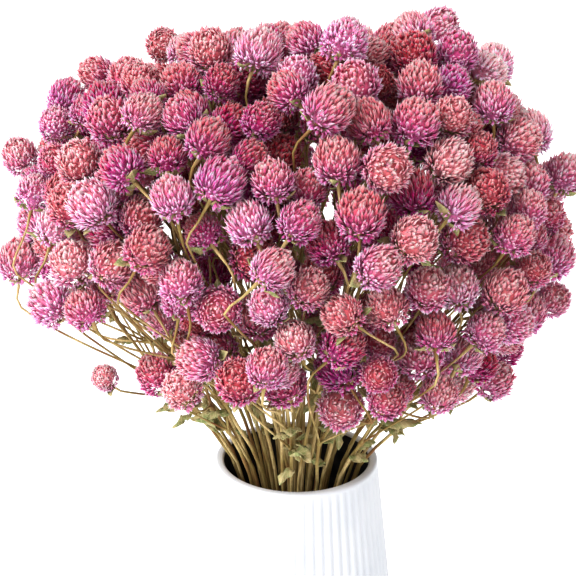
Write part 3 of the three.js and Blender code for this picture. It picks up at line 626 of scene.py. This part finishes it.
def leaf_material(look):
    """Dry leaf: grey green, tan where it has withered, with pale veins and a puckered surface."""
    material, tree = new_material("dried_leaf", Roughness=0.8, IOR=1.45, Specular_IOR_Level=0.3)
    place = add_node(tree, "TexCoord", "Object")
    patches = add_node(tree, "TexNoise", Vector=place, Scale=1 / (5 * MM), Detail=3)
    blade_stops = [(0.38, look.green), (0.6, look.tan)]
    blade = add_node(tree, "ValToRGB", Fac=patches, stops=blade_stops)
    across, along = [add_node(tree, "Attribute", "Fac", attribute_name=mark) for mark in LEAF_MARKS]
    side = add_node(tree, "Math", operation="ABSOLUTE", in_0=across)
    climb = add_node(tree, "Math", operation="MULTIPLY_ADD", in_0=side, in_1=-0.3, in_2=along)
    repeat = add_node(tree, "Math", operation="PINGPONG", in_0=climb, in_1=0.07)
    midrib, side_veins = [
        add_node(tree, "MapRange", Value=gap, span=(near, far, 0.7, 0.0))
        for gap, near, far in ((side, 0.03, 0.12), (repeat, 0.0, 0.018))
    ]
    veins = add_node(tree, "Math", operation="MAXIMUM", in_0=midrib, in_1=side_veins)
    colour = add_node(tree, "Mix", 2, data_type="RGBA", in_0=veins, in_6=blade, in_7=look.vein)
    puckers = add_node(tree, "TexNoise", Vector=place, Scale=1 / (1.6 * MM), Detail=3)
    relief = add_node(tree, "Bump", Height=puckers, Distance=0.6 * MM)
    return dressed(material, Base_Color=colour, Normal=relief)


def glaze_material(look):
    """Satin white glaze: a little uneven, its gloss so soft that it looks nearly unglazed."""
    material, tree = new_material("satin_white_glaze", Roughness=0.42, IOR=1.5)
    place = add_node(tree, "TexCoord", "Object")
    flow = add_node(tree, "TexNoise", Vector=place, Scale=1 / (30 * MM), Detail=2)
    flow_stops = [(0.35, look.glaze_thin), (0.6, look.glaze)]
    colour = add_node(tree, "ValToRGB", Fac=flow, stops=flow_stops)
    waves = add_node(tree, "TexNoise", Vector=place, Scale=1 / (7 * MM), Detail=2)
    relief = add_node(tree, "Bump", Height=waves, Distance=0.05 * MM)
    return dressed(material, Base_Color=colour, Normal=relief)


def inside_shade_material(look):
    """Painted shade inside the vase: a matt dark colour where the inside lies in shadow, with paler
    patches.
    """
    material, tree = new_material("inside_painted_shade", Roughness=0.9, IOR=1.45, Specular_IOR_Level=0.2)
    place = add_node(tree, "TexCoord", "Object")
    shade_patches = add_node(tree, "TexNoise", Vector=place, Scale=1 / (9 * MM), Detail=3)
    shade_patch_stops = [(0.35, look.inside), (0.65, look.inside_shade_patches)]
    colour = add_node(tree, "ValToRGB", Fac=shade_patches, stops=shade_patch_stops)
    return dressed(material, Base_Color=colour)


# Flower heads


def model_bract():
    """A spindle of unit length along +Z, pointed at both ends, one of its three edges out to +Y."""
    middle = (0, 0, (1 + WIDEST_PART) / 2)
    bpy.ops.mesh.primitive_cone_add(vertices=3, radius1=0.5, depth=1 - WIDEST_PART, location=middle)
    bract = bpy.context.object
    bpy.ops.object.transform_apply(location=True, rotation=False, scale=False)
    widest = WIDEST_PART + CLOSE
    edit_where(bract, "FACE", lambda co: co.z < widest)
    bpy.ops.mesh.poke()
    edit_where(bract, "VERT", lambda co: co.z < widest and hypot(co.x, co.y) < CLOSE)
    bpy.ops.transform.translate(value=(0, 0, -WIDEST_PART))
    bpy.ops.mesh.select_all(action="SELECT")
    bpy.ops.mesh.normals_make_consistent(inside=False)
    return taken_apart(bract)


def model_core():
    """The closed middle of a head, seen only as the colour between the bracts."""
    bpy.ops.mesh.primitive_ico_sphere_add(subdivisions=2, radius=1)
    core = bpy.context.object
    bpy.ops.object.mode_set(mode="EDIT")
    bpy.ops.transform.resize(value=CORE_SIZE)
    edit_where(core, "VERT", lambda co: co.z < UNDERSIDE_STARTS)
    bpy.ops.transform.resize(value=UNDERSIDE_SIZE, center_override=(0, 0, 0))
    return taken_apart(core)


def on_egg(polar, turn, reach):
    """A place on a head of radius one that faces +Z, lengthened along its axis."""
    flat = sin(polar)
    height = HEAD_LENGTHENING * cos(polar)
    return reach * np.array([flat * cos(turn), flat * sin(turn), height])


def stand_bract(shape, base, tip, width, thickness, twist):
    """Copies a unit bract so that it stands from base to tip, its keel outwards but for the twist."""
    axis = tip - base
    run = axis / norm(axis)
    out = (base + tip) / 2
    keel = out - (out @ run) * run
    keel /= max(norm(keel), TINY)
    keel = cos(twist) * keel + sin(twist) * np.cross(keel, run)
    across = np.cross(keel, run)
    return base + shape @ np.array([width * across, thickness * keel, axis])


def model_head(kind, look):
    """One kind of head with radius one, facing +Z: corners, faces and marks."""
    chance = np.random.default_rng(BRACT_DRAWS + kind)
    width = look.bract_width / MIDDLE_HEAD_RADIUS
    thickness = look.bract_thickness / MIDDLE_HEAD_RADIUS
    head = Gathering(BRACT_MARKS)
    shape, faces = model_bract()
    furled = OPENEST + (MOST_FURLED - OPENEST) * (kind + 0.5) / look.kinds
    for k in range(look.bracts):
        part = (k + 0.5) / look.bracts
        level = LOWEST_BRACT + (1 - LOWEST_BRACT) * part**CROWDING
        polar = acos(min(HIGHEST_LEVEL, level + chance.normal(0, LEVEL_STRAYS)))
        turn = k * GOLDEN_TURN + chance.normal(0, TURN_STRAYS)
        drop = max(0.0, polar - pi / 2)
        lean = max(furled * SIDE_LEAN * sin(polar), CROWN_LEAN * cos(polar))
        lean *= max(0.0, 1 - DROP_OPENS * drop)
        swirl = chance.normal(0, ROOT_TURN_STRAYS) * max(0.0, cos(polar))
        base = on_egg(min(polar + lean, LOWEST_ROOT), turn + swirl, ROOT_REACH)
        polar += chance.normal(0, TIP_STRAYS + LOW_TIP_STRAYS * drop)
        turn += chance.normal(0, TIP_TURN_STRAYS)
        tip = on_egg(polar, turn, 1 + chance.normal(0, REACH_STRAYS))
        grown = LOW_BRACT_SIZE + (CROWN_BRACT_SIZE - LOW_BRACT_SIZE) * part
        grown *= chance.uniform(*BRACT_SIZES)
        upward = max(0.0, cos(polar))
        wide = 1 + OPEN_WIDENS * max(0.0, 1 - lean / SIDE_LEAN) + CROWN_WIDENS * upward**4
        twist = chance.normal(0, TWIST_STRAYS)
        places = stand_bract(shape, base, tip, width * grown * wide, thickness * grown, twist)
        rise = (level - LOWEST_BRACT) / (1 - LOWEST_BRACT) + chance.normal(0, RISE_STRAYS)
        along = shape[:, 2] + chance.normal(0, PALE_STRAYS)
        head.add(places, faces, rise=rise, along=along, shade=chance.uniform(*BRACT_SHADES))
    core, core_faces = model_core()
    rise = (core[:, 2] + CORE_RISE) / (2 * CORE_RISE)
    head.add(core, core_faces, rise=rise, along=CORE_ALONG, shade=CORE_SHADE)
    return head.joined()


class AMARANTH_OT_heads(bpy.types.Operator):
    """Models the flower heads of every spray from papery bracts"""

    bl_idname = "amaranth.heads"
    bl_label = "Flower heads"

    def execute(self, context):
        look = context.scene.amaranth_heads
        kinds = [model_head(kind, look) for kind in range(look.kinds)]
        material = bract_material(look)
        chance = np.random.default_rng(HEAD_DRAWS)
        middles = np.array([head["middle"] for form in FORMS.values() for head in form["heads"]])
        centre = middles.mean(axis=0)
        half_crown = np.abs(middles - centre).max(axis=0)
        for name in SPRAYS:
            gathered = Gathering(BRACT_MARKS)
            for head in FORMS[name]["heads"]:
                places, faces, marks = kinds[chance.integers(len(kinds))]
                side, up = square_frame(head["facing"])
                turn = chance.uniform(0, 2 * pi)
                first = cos(turn) * side + sin(turn) * up
                axes = np.array([first, np.cross(head["facing"], first), head["facing"]])
                reach = look.swell * head["radius"]
                tone = SLOT_TONES[SLOTS[name]] + chance.normal(0, TONE_STRAYS)
                # Heads deep in the crown are darkened as painted shade, then each head gets a random
                # lightness.
                outness = norm((head["middle"] - centre) / half_crown)
                light = np.interp(outness, INNER_SHADE_FROM_TO, (1 - look.inner_shade, 1))
                light += chance.normal(0, LIGHT_STRAYS)
                marks = {**marks, "rise": marks["rise"] + tone, "shade": marks["shade"] * light}
                gathered.add(head["middle"] + reach * places @ axes, faces, **marks)
            gathered.piece(f"{name}_heads", material)
        return {"FINISHED"}


# Stems


def swollen(line, knots, plain, swelling, reach):
    """The radius at each point of a line: plain, and swollen within reach of a knot."""
    radii = []
    for point, radius in zip(line, plain):
        gap = min((norm(point - knot) for knot in knots), default=reach)
        radii.append(radius + (swelling - radius) * max(0.0, 1 - gap / reach) ** SWELLING_ROUNDNESS)
    return radii


def with_stops(line, knots, reach):
    """The line with extra points just before and after each knot, so that a swelling stays short."""
    found = [line[0]]
    for a, b in zip(line, line[1:]):
        length = norm(b - a)
        run = (b - a) / max(length, TINY)
        extra = []
        for knot in knots:
            for end, way in ((a, 1), (b, -1)):
                if norm(end - knot) < CLOSE_BY and length > SWELLING_ROOM * reach:
                    extra += [end + way * run * reach * part for part in SWELLING_POINTS]
        found += sorted(extra, key=lambda p: (p - a) @ run) + [b]
    return found


def stem_lines(form, look):
    """The stem and the stalks of a spray, each as its points and the radius at each of them."""
    knots, reach = form["knots"], look.knuckle_reach
    stem = with_stops(smooth_line(form["stem"], STEM_STEP), knots, reach)
    plain = np.linspace(look.foot_radius, look.top_radius, len(stem))
    lines = [(stem, swollen(stem, knots, plain, look.knuckle_radius, reach))]
    for stalk in form["stalks"]:
        line = smooth_line(stalk, STALK_STEP)
        radii = np.full(len(line), look.stalk_radius)
        radii[0] *= STALK_AT_FORK
        radii[-1] *= STALK_IN_HEAD
        radii[-2] *= STALK_BELOW_HEAD
        lines.append((line, radii))
    return lines


class AMARANTH_OT_stems(bpy.types.Operator):
    """Models every stem with its swollen knuckles and thin stalks as round rods"""

    bl_idname = "amaranth.stems"
    bl_label = "Stems and stalks"

    def execute(self, context):
        look = context.scene.amaranth_stems
        material = stem_material(look)
        for name in SPRAYS:
            curve = bpy.data.curves.new(f"{name}_stems", "CURVE")
            curve.dimensions = "3D"
            curve.bevel_depth = 1.0
            curve.bevel_resolution = 1
            curve.use_fill_caps = True
            for line, radii in stem_lines(FORMS[name], look):
                spline = curve.splines.new("POLY")
                spline.points.add(len(line) - 1)
                for point, place, radius in zip(spline.points, line, radii):
                    point.co = (*place, 1)
                    point.radius = radius
            stems = bpy.data.objects.new(f"{name}_stems", curve)
            context.scene.collection.objects.link(stems)
            only(stems)
            bpy.ops.object.convert(target="MESH")
            bpy.ops.object.shade_smooth()
            stems.data.materials.clear()
            stems.data.materials.append(material)
        return {"FINISHED"}


# Leaves


def model_leaf(rows, columns):
    """A pointed leaf in the plane: x across from -1 to 1 at its widest, y from 0 at its root to 1."""
    bpy.ops.mesh.primitive_grid_add(x_subdivisions=columns, y_subdivisions=rows, size=2)
    leaf = bpy.context.object
    for k in range(rows + 1):
        level = -1 + 2 * k / rows
        edit_where(leaf, "VERT", lambda co, level=level: abs(co.y - level) < CLOSE)
        bpy.ops.transform.resize(value=(oval(k / rows), 1, 1))
    edit_where(leaf, "VERT", lambda co: True)
    bpy.ops.transform.translate(value=(0, 1, 0))
    bpy.ops.transform.resize(value=(1, 0.5, 1), center_override=(0, 0, 0))
    only(leaf)
    solid = leaf.modifiers.new("thickness", "SOLIDIFY")
    solid.thickness = 1
    solid.offset = 0
    bpy.ops.object.modifier_apply(modifier=solid.name)
    return taken_apart(leaf)


def oval(part):
    """Half width of an ovate leaf along its length."""
    return max(LEAF_TIP_WIDTH, sin(pi * part**LEAF_WIDEST_LOW) ** LEAF_FULLNESS)


def along_line(line, parts):
    """Places at parts of a line's length."""
    spans = np.array([norm(b - a) for a, b in zip(line, line[1:])])
    reached = np.concatenate([[0], np.cumsum(spans)]) / spans.sum()
    return np.stack([np.interp(parts, reached, [p[k] for p in line]) for k in range(3)], 1)


def lay_leaf(shape, line, side, half_width, thickness, curl, crumple, phase):
    """Bends a flat leaf along a line: folded along its midrib, its sides curled in and crumpled."""
    x, y, z = shape.T
    before, after = np.maximum(y - RUN_SPAN, 0), np.minimum(y + RUN_SPAN, 1)
    run = along_line(line, after) - along_line(line, before)
    run /= norm(run, axis=1, keepdims=True)
    over = np.cross(np.broadcast_to(side, run.shape), run)
    over /= norm(over, axis=1, keepdims=True)
    across = np.cross(run, over)
    waves = crumple * np.sin(EDGE_WAVES * y + phase) * x * np.abs(x)
    bend = LEAF_FOLD * np.abs(x) + curl * x**2 * (LEAF_ROOT_CURL + y) + waves
    puckers = np.sin(PUCKERS_ALONG * y + 2 * phase) * np.cos(PUCKERS_ACROSS * x + phase)
    puckers *= PUCKER_HEIGHT * crumple
    lift = half_width * (np.sin(bend) * np.abs(x) + puckers) + thickness * z
    reach = half_width * x * np.cos(bend)
    return along_line(line, y) + across * reach[:, None] + over * lift[:, None]


def grown_leaf(leaf, look, chance):
    """The whole leaf at a knuckle: its line, side, half width, curl and crumple."""
    half = norm(leaf["across"]) / 2
    side = leaf["across"] / (2 * half)
    curl, crumple = chance.uniform(*GROWN_CURLS), chance.uniform(*GROWN_CRUMPLES)
    return smooth_line(leaf["line"], GROWN_STEP), side, GROWN_WIDTH * half, curl, crumple


def withered_leaves(form, look, chance):
    """Shrunken leaves that hang from the stem just above the vase and from its knuckles."""
    found = []
    stem = [place for place in form["stem"] if place[2] > MOUTH_HEIGHT - 1 * MM]
    spans = zip(stem, stem[1:3])
    roots = [low + chance.uniform(*WITHERED_PLACES) * (high - low) for low, high in spans]
    for root in roots + form["knots"]:
        if chance.uniform() > look.withered_share:
            continue
        turn = chance.uniform(0, 2 * pi)
        out = np.array([cos(turn), sin(turn), chance.uniform(*WITHERED_SLOPES)])
        out /= norm(out)
        grown = look.withered_length * chance.uniform(*WITHERED_SIZES)
        knee = root + 0.5 * grown * out
        end = knee + 0.5 * grown * (out + np.array([0, 0, -WITHERED_DROOP]))
        side = square_frame(out)[0]
        line = smooth_line([root, knee, end], WITHERED_STEP)
        curl, crumple = chance.uniform(*WITHERED_CURLS), chance.uniform(*WITHERED_CRUMPLES)
        found.append((line, side, WITHERED_WIDTH * grown, curl, crumple))
    return found


def cup_leaves(head, look, chance):
    """The two small leaves that clasp a head from below."""
    found = []
    facing, radius = head["facing"], head["radius"]
    side, up = square_frame(facing)
    turn = chance.uniform(0, pi)
    for half_turn in (0, pi):
        angle = turn + half_turn + chance.normal(0, CUP_TURN_STRAYS)
        out = cos(angle) * side + sin(angle) * up
        grown = look.cup_length * chance.uniform(*CUP_SIZES)
        open_out = chance.uniform(*CUP_OPENINGS)
        root = head["middle"] + radius * (CUP_START * out - CUP_DEPTH * facing)
        knee = root + grown * (0.5 * out + 0.02 * facing)
        end = out * (CUP_RUNS_OUT + open_out) + facing * (CUP_RUNS_UP - open_out)
        line = smooth_line([root, knee, knee + 0.5 * grown * end], CUP_STEP)
        crumple = chance.uniform(*CUP_CRUMPLES)
        found.append((line, np.cross(out, facing), CUP_WIDTH * grown, CUP_CURL, crumple))
    return found


class AMARANTH_OT_leaves(bpy.types.Operator):
    """Models the curled leaves, withered leaves and the two small leaves under each head"""

    bl_idname = "amaranth.leaves"
    bl_label = "Leaves"

    def execute(self, context):
        look = context.scene.amaranth_leaves
        material = leaf_material(look)
        patterns = {"large": model_leaf(*LARGE_LEAF), "small": model_leaf(*SMALL_LEAF)}
        chance = np.random.default_rng(LEAF_DRAWS)
        for name in SPRAYS:
            gathered = Gathering(LEAF_MARKS)
            form = FORMS[name]
            leaves = [("large", *grown_leaf(leaf, look, chance)) for leaf in form["leaves"]]
            leaves += [("large", *leaf) for leaf in withered_leaves(form, look, chance)]
            for head in form["heads"]:
                leaves += [("small", *leaf) for leaf in cup_leaves(head, look, chance)]
            for size, line, side, half_width, curl, crumple in leaves:
                shape, faces = patterns[size]
                phase = chance.uniform(0, 2 * pi)
                laid = lay_leaf(shape, line, side, half_width, look.thickness, curl, crumple, phase)
                gathered.add(laid, faces, across=shape[:, 0], along=shape[:, 1])
            gathered.piece(f"{name}_leaves", material)
        return {"FINISHED"}


class AMARANTH_OT_sprays(bpy.types.Operator):
    """Joins the heads, stem and leaves of each spray, which stand for its plain solid"""

    bl_idname = "amaranth.sprays"
    bl_label = "Join sprays"

    def execute(self, context):
        for name in SPRAYS:
            parts = [bpy.data.objects[f"{name}_{part}"] for part in ("heads", "stems", "leaves")]
            only(*parts)
            bpy.ops.object.join()
            spray = bpy.context.object
            spray.name = f"{name}_dried"
            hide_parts(name)
            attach(spray, "root")
        return {"FINISHED"}


# Vase


# Corners across a rib and the share of the groove's depth at each, radius and height where the ribbed
# wall ends above and below, and the parts of its height that have a ring of corners.
CORNERS_A_RIB = 8
GROOVE_SHARES = {0: 1.0, 1: 0.72, 7: 0.72, 2: 0.28, 6: 0.28, 3: 0.05, 5: 0.05}
WALL_TOP, SHOULDER = (47.0 * MM, 197.5 * MM), (67.0 * MM, 16.0 * MM)
WALL_LEVELS = (0, 0.015, 0.04, 0.2, 0.4, 0.6, 0.8, 0.985, 1)

# How far short of the wall's ends the grooves end, how deep in the wall a corner may lie to be pressed
# in, and where the inside is painted dark as shade.
GROOVE_END, OUTER_SKIN, THINNEST_WALL = 1 * MM, 2 * MM, 3 * MM
INSIDE_FLOOR, INSIDE_TOP = 9 * MM, 197 * MM


def wall_radius(height):
    """Radius of the plain outer wall at a height."""
    part = (height - SHOULDER[1]) / (WALL_TOP[1] - SHOULDER[1])
    return SHOULDER[0] + part * (WALL_TOP[0] - SHOULDER[0])


def vase_profile():
    """Radius and height along the vase, from its foot up the outside and down the inside."""
    foot = [(60.0, 0.0), (62.6, 0.7), (64.8, 2.6), (65.9, 6.0), (66.6, 11.0)]
    ribbed = [SHOULDER[1] + part * (WALL_TOP[1] - SHOULDER[1]) for part in WALL_LEVELS]
    rim = [(47.0, 198.6), (46.6, 199.5), (45.8, 200.0), (43.2, 200.0), (42.4, 199.6), (42.0, 198.7)]
    inside = [(46.0, 161.0), (53.5, 93.0), (61.0, 25.0), (59.5, 15.0), (54.0, 9.0)]
    below, above = [[(r * MM, z * MM) for r, z in part] for part in (foot, rim + inside)]
    return below + [(wall_radius(z), z) for z in ribbed] + above


def model_vase(look):
    """Raises a ring of corners along the profile, closes both ends and presses the grooves in."""
    corners = CORNERS_A_RIB * look.ribs
    profile = vase_profile()
    bpy.ops.mesh.primitive_circle_add(vertices=corners, radius=profile[0][0], fill_type="NOTHING")
    vase = bpy.context.object
    vase.name = "vase_glazed"
    bpy.ops.object.mode_set(mode="EDIT")
    for (radius, height), (next_radius, next_height) in zip(profile, profile[1:]):
        climb = (0, 0, next_height - height)
        bpy.ops.mesh.extrude_region_move(TRANSFORM_OT_translate={"value": climb})
        part = next_radius / radius
        bpy.ops.transform.resize(value=(part, part, 1))
    bpy.ops.mesh.extrude_region_move()
    bpy.ops.mesh.merge(type="CENTER")
    edit_where(vase, "VERT", lambda co: co.z < CLOSE_BY)
    bpy.ops.mesh.extrude_region_move()
    bpy.ops.mesh.merge(type="CENTER")
    step = 2 * pi / corners
    low, high = SHOULDER[1] + GROOVE_END, WALL_TOP[1] - GROOVE_END
    for place, share in GROOVE_SHARES.items():

        def in_groove(co, place=place):
            outside = hypot(co.x, co.y) > wall_radius(co.z) - OUTER_SKIN
            here = round(atan2(co.y, co.x) / step) % CORNERS_A_RIB
            return low < co.z < high and outside and here == place

        edit_where(vase, "VERT", in_groove)
        pressed = 1 - share * look.groove_depth / wall_radius((low + high) / 2)
        bpy.ops.transform.resize(value=(pressed, pressed, 1), center_override=(0, 0, 0))
    bpy.ops.mesh.select_all(action="SELECT")
    bpy.ops.mesh.normals_make_consistent(inside=False)
    bpy.ops.object.mode_set(mode="OBJECT")
    bpy.ops.object.shade_smooth_by_angle(angle=radians(50))
    return vase


def inside_vase(place):
    """Whether a face's middle lies on the inside below the rim, which is painted dark as shade."""
    within = hypot(place.x, place.y) < wall_radius(place.z) - THINNEST_WALL
    return within and INSIDE_FLOOR < place.z < INSIDE_TOP


class AMARANTH_OT_vase(bpy.types.Operator):
    """Models the ribbed vase, glazed white outside, with painted shade on its inside"""

    bl_idname = "amaranth.vase"
    bl_label = "Vase"

    def execute(self, context):
        look = context.scene.amaranth_vase
        vase = model_vase(look)
        vase.data.materials.append(glaze_material(look))
        vase.data.materials.append(inside_shade_material(look))
        # The faces inside below the rim get the painted shade.
        edit_where(vase, "FACE", inside_vase)
        vase.active_material_index = 1
        bpy.ops.object.material_slot_assign()
        bpy.ops.object.mode_set(mode="OBJECT")
        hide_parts("vase")
        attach(vase, "root")
        return {"FINISHED"}


# Stage


class AMARANTH_OT_stage(bpy.types.Operator):
    """Sets the pale floor, the soft lights and the camera"""

    bl_idname = "amaranth.stage"
    bl_label = "Stage"

    def execute(self, context):
        look = context.scene.amaranth_stage
        scene = context.scene
        view = scene.view_settings
        view.view_transform = "Standard"
        view.gamma, view.exposure = look.contrast, look.exposure
        only()
        bpy.ops.mesh.primitive_plane_add(size=FLOOR_SIZE)
        floor = bpy.context.object
        floor.name = "floor"
        material = new_material(
            "matt_paper",
            Base_Color=(*look.floor, 1),
            Roughness=0.9,
            Specular_IOR_Level=0.1,
            Emission_Color=(1, 1, 1, 1),
            Emission_Strength=look.glow,
        )[0]
        floor.data.materials.append(material)

        turned = Vector(KEY_DIRECTION).to_track_quat("Z", "Y").to_euler()
        bpy.ops.object.light_add(type="SUN", rotation=turned)
        key = bpy.context.object
        key.name = "key_light"
        key.data.energy = look.sun
        key.data.angle = KEY_ANGLE

        world = bpy.data.worlds.new("even_light")
        scene.world = world
        world.use_nodes = True
        tree = world.node_tree
        background = tree.nodes["Background"]
        background.inputs["Color"].default_value = (1, 1, 1, 1)
        heading = add_node(tree, "TexCoord", "Generated")
        climb = add_node(tree, "SeparateXYZ", "Z", Vector=heading)
        span = (*FILL_HEIGHTS, FILL_LOW * look.sky, FILL_OVERHEAD * look.sky)
        fill = add_node(tree, "MapRange", Value=climb, span=span)
        tree.links.new(fill, background.inputs["Strength"])

        tilt = pi / 2 - CAMERA_PITCH
        bpy.ops.object.camera_add(location=CAMERA_PLACE, rotation=(tilt, 0, 0))
        camera = bpy.context.object
        camera.name = "camera"
        camera.data.sensor_width = SENSOR_WIDTH
        camera.data.lens = SENSOR_WIDTH / 2 / tan(HALF_VIEW)
        camera.data.clip_start = 0.01
        scene.camera = camera
        return {"FINISHED"}


class AMARANTH_PT_panel(bpy.types.Panel):
    """Lists the steps that build the bunch"""

    bl_idname = "AMARANTH_PT_panel"
    bl_label = "Dried globe amaranth"
    bl_space_type = "VIEW_3D"
    bl_region_type = "UI"
    bl_category = "Amaranth"

    def draw(self, context):
        for step in STEPS:
            self.layout.operator(step.bl_idname)
        for group in GROUPS:
            box = self.layout.box()
            for choice in GROUPS[group].__annotations__:
                box.prop(getattr(context.scene, group), choice)


GROUPS = {
    "amaranth_heads": HeadSettings,
    "amaranth_stems": StemSettings,
    "amaranth_leaves": LeafSettings,
    "amaranth_vase": VaseSettings,
    "amaranth_stage": StageSettings,
}
STEPS = (
    AMARANTH_OT_heads,
    AMARANTH_OT_stems,
    AMARANTH_OT_leaves,
    AMARANTH_OT_sprays,
    AMARANTH_OT_vase,
    AMARANTH_OT_stage,
)
CLASSES = (*GROUPS.values(), *STEPS, AMARANTH_PT_panel)
FORMS = {name: read_spray(frame["nodes"][name]) for name in SPRAYS}


def register():
    for kind in CLASSES:
        bpy.utils.register_class(kind)
    for name, group in GROUPS.items():
        setattr(bpy.types.Scene, name, PointerProperty(type=group))


def unregister():
    for name in GROUPS:
        delattr(bpy.types.Scene, name)
    for kind in reversed(CLASSES):
        bpy.utils.unregister_class(kind)


def main():
    register()
    only()
    bpy.ops.amaranth.heads()
    bpy.ops.amaranth.stems()
    bpy.ops.amaranth.leaves()
    bpy.ops.amaranth.sprays()
    bpy.ops.amaranth.vase()
    bpy.ops.amaranth.stage()


if __name__ == "__main__":
    main()
